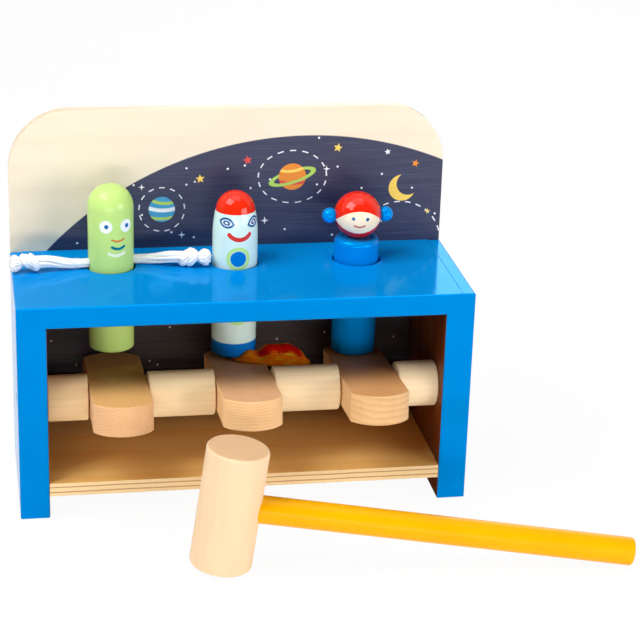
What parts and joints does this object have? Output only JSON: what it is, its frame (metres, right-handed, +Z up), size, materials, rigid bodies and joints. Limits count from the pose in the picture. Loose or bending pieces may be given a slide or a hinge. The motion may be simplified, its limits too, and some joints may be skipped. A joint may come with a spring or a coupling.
{
  "type": "peg pounding bench",
  "caption": "Wooden pounding bench: levers on a common axle throw round figure pegs up through holes in the top when struck with the hammer; a printed back panel closes the rear.",
  "frame": {"origin": "on the floor, at the middle of the area that the bench stands on", "axes": "+X to the right seen from the front, +Y to the rear, +Z up"},
  "size_m": [0.3103, 0.1847, 0.198],
  "materials": {
    "blue_paint": "blue gloss paint on wood",
    "plywood": "clear lacquered birch plywood",
    "printed_plywood": "birch plywood with a navy and cream print",
    "beech": "smooth waxed beech",
    "lime_paint": "lime green satin paint on wood",
    "rocket_paint": "pale blue satin paint on wood with a red nose",
    "red_paint": "red gloss paint on wood",
    "yellow_paint": "yellow gloss paint on wood",
    "cotton_cord": "twisted white cotton cord",
    "flame_cloth": "thin crinkled cloth, red with orange edges",
    "screw_steel": "zinc plated"
  },
  "bodies": {
    "bench": {"left_side_panel": "blue_paint", "right_side_panel": "blue_paint", "top_plate": "blue_paint", "shelf": "plywood", "back_panel": "printed_plywood", "back_screws": "screw_steel", "stop_rail": "beech", "rail_dowels": "beech", "axle": "beech", "spacer_left_end": "beech", "spacer_left": "beech", "spacer_right": "beech", "spacer_right_end": "beech"},
    "lever_left": {"lever_left": "beech"},
    "lever_middle": {"lever_middle": "beech"},
    "lever_right": {"lever_right": "beech"},
    "alien": {"alien_peg": "lime_paint", "arm_cord_left": "cotton_cord", "arm_cord_right": "cotton_cord", "arm_knot_left": "cotton_cord", "arm_knot_right": "cotton_cord"},
    "rocket": {"rocket_peg": "rocket_paint", "rocket_flame": "flame_cloth"},
    "astronaut": {"astronaut_body": "blue_paint", "neck_pin": "beech", "astronaut_head": "red_paint", "ear_left": "blue_paint", "ear_right": "blue_paint"},
    "hammer": {"hammer_head": "beech", "hammer_handle": "yellow_paint"}
  },
  "joints": [
    {"name": "lever_left_turn", "type": "hinge", "parent": "bench", "child": "lever_left", "pos_m": [-0.067, -0.0265, 0.0605], "axis": [1, 0, 0], "range_deg": [0, 40]},
    {"name": "lever_middle_turn", "type": "hinge", "parent": "bench", "child": "lever_middle", "pos_m": [0, -0.0265, 0.0605], "axis": [1, 0, 0], "range_deg": [0, 40]},
    {"name": "lever_right_turn", "type": "hinge", "parent": "bench", "child": "lever_right", "pos_m": [0.067, -0.0265, 0.0605], "axis": [1, 0, 0], "range_deg": [0, 40]},
    {"name": "alien_rise", "type": "slide", "parent": "bench", "child": "alien", "axis": [0, 0, 1], "range_m": [0, 0.0256]},
    {"name": "rocket_rise", "type": "slide", "parent": "bench", "child": "rocket", "axis": [0, 0, 1], "range_m": [0, 0.0335]},
    {"name": "astronaut_rise", "type": "slide", "parent": "bench", "child": "astronaut", "axis": [0, 0, 1], "range_m": [0, 0.0335]},
    {"name": "hammer_lift", "type": "slide", "parent": "bench", "child": "hammer", "axis": [0, 0, 1], "range_m": [0, 0.15]}
  ],
  "couplings": [
    {"joint": "alien_rise", "follows": "lever_left_turn", "m_per_rad": 0.0365},
    {"joint": "rocket_rise", "follows": "lever_middle_turn", "m_per_rad": 0.0475},
    {"joint": "astronaut_rise", "follows": "lever_right_turn", "m_per_rad": 0.0475}
  ]
}
